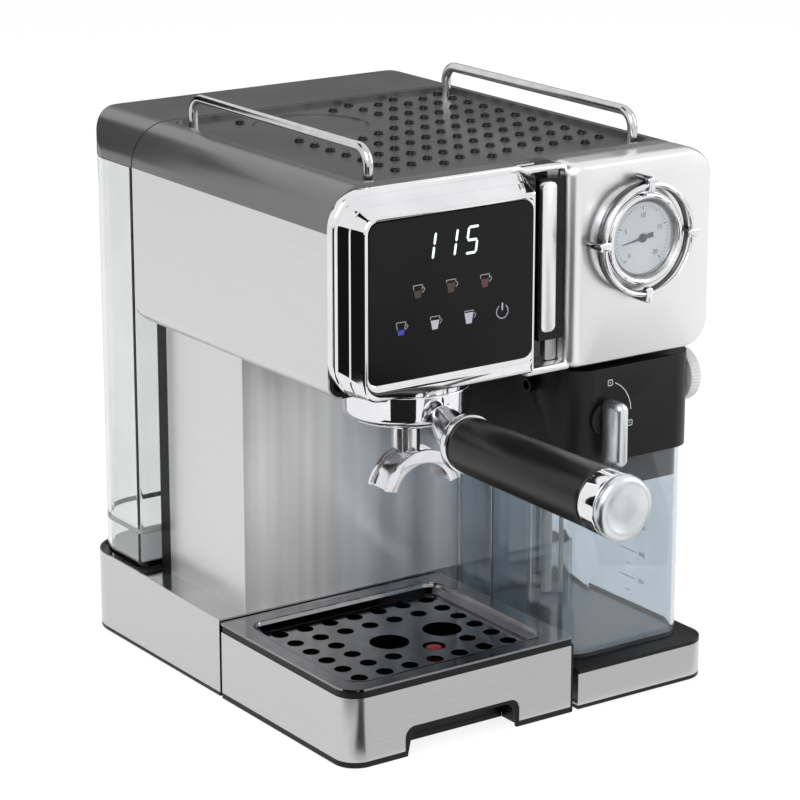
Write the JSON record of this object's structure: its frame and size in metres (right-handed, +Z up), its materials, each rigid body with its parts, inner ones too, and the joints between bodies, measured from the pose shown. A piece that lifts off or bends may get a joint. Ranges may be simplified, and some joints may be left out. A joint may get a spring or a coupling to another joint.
{
  "type": "espresso machine",
  "caption": "Countertop espresso machine with touch display, pressure gauge, portafilter, drip tray, lift-out rear water tank and a docked milk frother container.",
  "frame": {"origin": "worktop plane, under the middle of the whole footprint including the handle and the froth knob", "axes": "+X to the machine's right seen from the front, +Y to its back, +Z up"},
  "size_m": [0.246, 0.4156, 0.325],
  "materials": {
    "black_plastic": "satin",
    "rubber": "matte",
    "brushed_steel": "brushed",
    "polished_steel": "polished",
    "chrome": "mirror",
    "grey_cover": "satin",
    "black_glass": "gloss",
    "board_green": "matte",
    "dial_white": "matte",
    "needle_grey": "matte",
    "clear_lens": "clear",
    "aluminium": "cast",
    "hose_white": "satin",
    "grip_black": "matte",
    "cap_satin": "satin",
    "float_red": "gloss",
    "tank_clear": "clear",
    "milk_tank_blue": "clear tinted",
    "knob_grey": "satin"
  },
  "bodies": {
    "machine": {"base_plate": "black_plastic", "feet": "rubber", "base_shell": "black_plastic", "base_wrap": "brushed_steel", "platform_strip": "brushed_steel", "platform_plate": "black_plastic", "cord_gland": "black_plastic", "tank_dock": "black_plastic", "column_shell": "black_plastic", "splash_panel": "brushed_steel", "column_sides": "brushed_steel", "dock_panel": "black_plastic", "steam_nozzle": "polished_steel", "head_pan": "black_plastic", "head_sides": "brushed_steel", "top_cover": "grey_cover", "cup_rail_left": "chrome", "cup_rail_right": "chrome", "glass_frame": "chrome", "touch_glass": "black_glass", "display_board": "board_green", "channel_trim": "chrome", "trim_bar": "chrome", "gauge_panel": "polished_steel", "gauge_case": "black_plastic", "gauge_dial": "dial_white", "gauge_ring": "chrome", "gauge_lens": "clear_lens", "guard_wires": "chrome", "guard_clamps": "chrome", "group_collar": "chrome", "brew_head": "aluminium", "group_gasket": "rubber", "shower_screen": "polished_steel", "boiler": "aluminium", "pump": "black_plastic", "hoses": "hose_white", "control_board": "board_green"},
    "gauge_pointer": {"gauge_needle": "needle_grey"},
    "portafilter": {"pf_bowl": "chrome", "pf_basket": "polished_steel", "pf_spout": "chrome", "pf_neck": "chrome", "pf_grip": "grip_black", "pf_ferrule": "chrome", "pf_cap": "cap_satin"},
    "drip_tray": {"tray_tub": "black_plastic", "tray_skin": "brushed_steel"},
    "grid": {"drip_grid": "polished_steel"},
    "float": {"level_float": "float_red"},
    "water_tank": {"tank_shell": "tank_clear", "tank_valve": "black_plastic", "lid_pin": "polished_steel"},
    "tank_cover": {"tank_lid": "grey_cover"},
    "milk_unit": {"milk_tank": "milk_tank_blue", "frother_housing": "black_plastic", "milk_intake": "black_plastic", "milk_spout": "black_plastic"},
    "lever": {"froth_lever": "chrome"},
    "knob": {"froth_knob": "knob_grey"}
  },
  "joints": [
    {"name": "portafilter_turn", "type": "hinge", "parent": "machine", "child": "portafilter", "pos_m": [-0.04925, -0.01915, 0.183], "axis": [0, 0, 1], "range_deg": [-45, 0]},
    {"name": "gauge_pointer_turn", "type": "hinge", "parent": "machine", "child": "gauge_pointer", "pos_m": [0.066, -0.06955, 0.262], "axis": [0, 1, 0], "range_deg": [0, 230], "stiffness_Nm_per_rad": 0.0004},
    {"name": "drip_tray_slide", "type": "slide", "parent": "machine", "child": "drip_tray", "axis": [0, -1, 0], "range_m": [0, 0.14]},
    {"name": "grid_lift", "type": "slide", "parent": "drip_tray", "child": "grid", "axis": [0, 0, 1], "range_m": [0, 0.06]},
    {"name": "float_rise", "type": "slide", "parent": "drip_tray", "child": "float", "axis": [0, 0, 1], "range_m": [0, 0.006]},
    {"name": "water_tank_lift", "type": "slide", "parent": "machine", "child": "water_tank", "axis": [0, 0, 1], "range_m": [0, 0.25]},
    {"name": "tank_lid_open", "type": "hinge", "parent": "water_tank", "child": "tank_cover", "pos_m": [-0.0004, 0.20125, 0.2868], "axis": [-1, 0, 0], "range_deg": [0, 95]},
    {"name": "milk_unit_slide", "type": "slide", "parent": "machine", "child": "milk_unit", "axis": [0, -1, 0], "range_m": [0, 0.2]},
    {"name": "froth_lever_turn", "type": "hinge", "parent": "milk_unit", "child": "lever", "pos_m": [0.0495, -0.06415, 0.162], "axis": [0, 1, 0], "range_deg": [0, 90]},
    {"name": "froth_knob_turn", "type": "hinge", "parent": "milk_unit", "child": "knob", "pos_m": [0.115, -0.04415, 0.1724], "axis": [1, 0, 0], "range_deg": [0, 270]}
  ]
}
